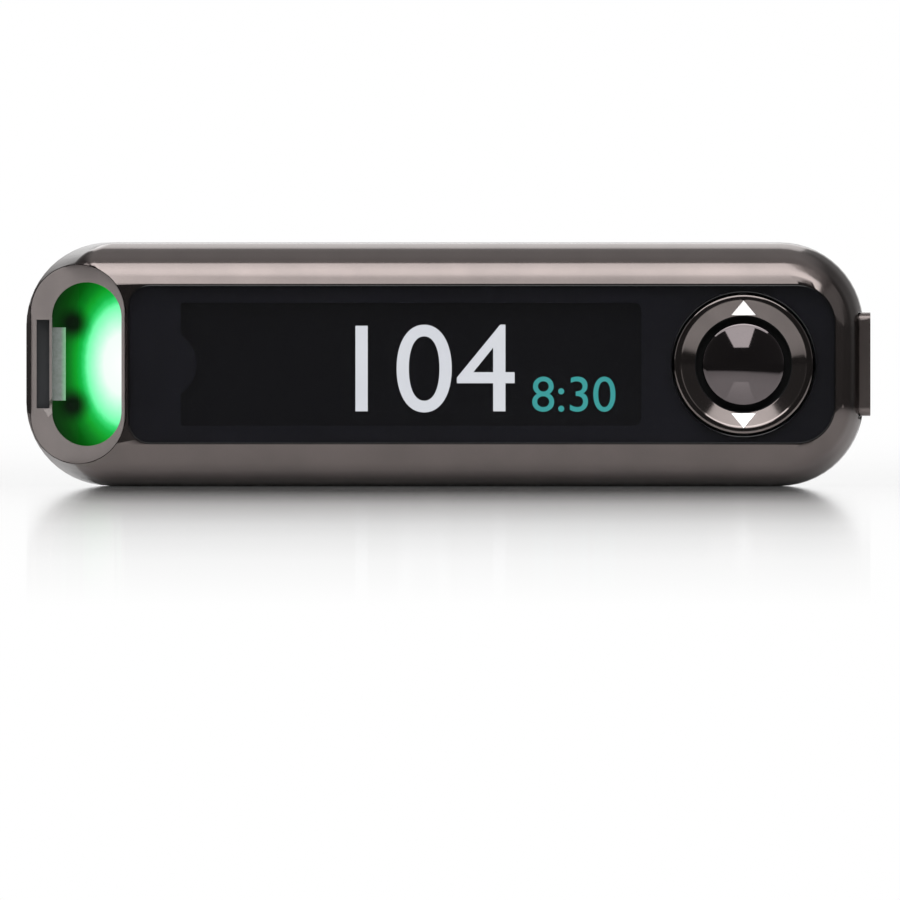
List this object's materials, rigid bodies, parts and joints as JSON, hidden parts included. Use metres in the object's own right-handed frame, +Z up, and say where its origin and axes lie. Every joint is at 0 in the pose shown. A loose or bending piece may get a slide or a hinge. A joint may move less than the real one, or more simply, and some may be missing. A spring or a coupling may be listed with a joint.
{
  "type": "blood glucose meter",
  "caption": "Slim hand-held blood glucose meter with a slanted lit strip port, a wide display, a centre button in a rocking scroll ring and a sliding battery door",
  "frame": {"origin": "centre of the long edge the meter stands on, at the bottom of its bounding box", "axes": "+X along the length from the strip port to the battery door's thumb lip, -Y out of the face, +Z up across the width"},
  "size_m": [0.097, 0.0148, 0.028],
  "materials": {
    "shell_front": "metallic gunmetal, satin gloss",
    "shell_back": "metallic gunmetal, satin gloss",
    "shell_door": "metallic gunmetal, satin gloss",
    "lens": "clear, polished",
    "mask": "printed black",
    "bezel": "metallic gunmetal, satin",
    "glow": "clear, frosted, lit from behind in green",
    "lamp": "clear resin",
    "connector": "moulded",
    "contact": "gold plated",
    "board": "solder mask",
    "display": "dark glass",
    "foam": "foam",
    "carrier": "moulded",
    "ribbon": "polyimide film",
    "socket": "moulded",
    "ok_cap": "polished, dark metallic",
    "ring": "metallic gunmetal, polished",
    "mark": "white",
    "guide": "moulded",
    "switch": "stamped",
    "chip": "moulded",
    "can": "tinned",
    "buzzer": "moulded",
    "tray": "moulded",
    "cell": "polished",
    "cell_contact": "nickel plated",
    "screw": "zinc plated"
  },
  "bodies": {
    "meter": {"front_housing": "shell_front", "back_housing": "shell_back", "front_lens": "lens", "lens_mask": "mask", "port_bezel": "bezel", "light_guide": "glow", "port_lights": "lamp", "strip_connector": "connector", "strip_contacts": "contact", "circuit_board": "board", "display_panel": "display", "display_gasket": "foam", "display_cradle": "carrier", "display_ribbon": "ribbon", "ribbon_socket": "socket", "button_guide": "guide", "key_switches": "switch", "board_chips": "chip", "radio_module": "can", "buzzer": "buzzer", "battery_tray": "tray", "coin_cells": "cell", "cell_springs": "cell_contact", "cell_clips": "cell_contact", "housing_screws": "screw"},
    "centre_button": {"ok_button": "ok_cap"},
    "rocker": {"scroll_ring": "ring", "arrow_marks": "mark"},
    "door": {"battery_door": "shell_door"}
  },
  "joints": [
    {"name": "ok_press", "type": "slide", "parent": "meter", "child": "centre_button", "axis": [0, 1, 0], "range_m": [0, 0.0005], "stiffness_N_per_m": 150},
    {"name": "ring_rock", "type": "hinge", "parent": "meter", "child": "rocker", "pos_m": [0.0339, -0.0052, 0.014], "axis": [1, 0, 0], "range_deg": [-2.5, 2.5], "stiffness_Nm_per_rad": 0.004},
    {"name": "door_slide", "type": "slide", "parent": "meter", "child": "door", "axis": [1, 0, 0], "range_m": [0, 0.044]}
  ]
}
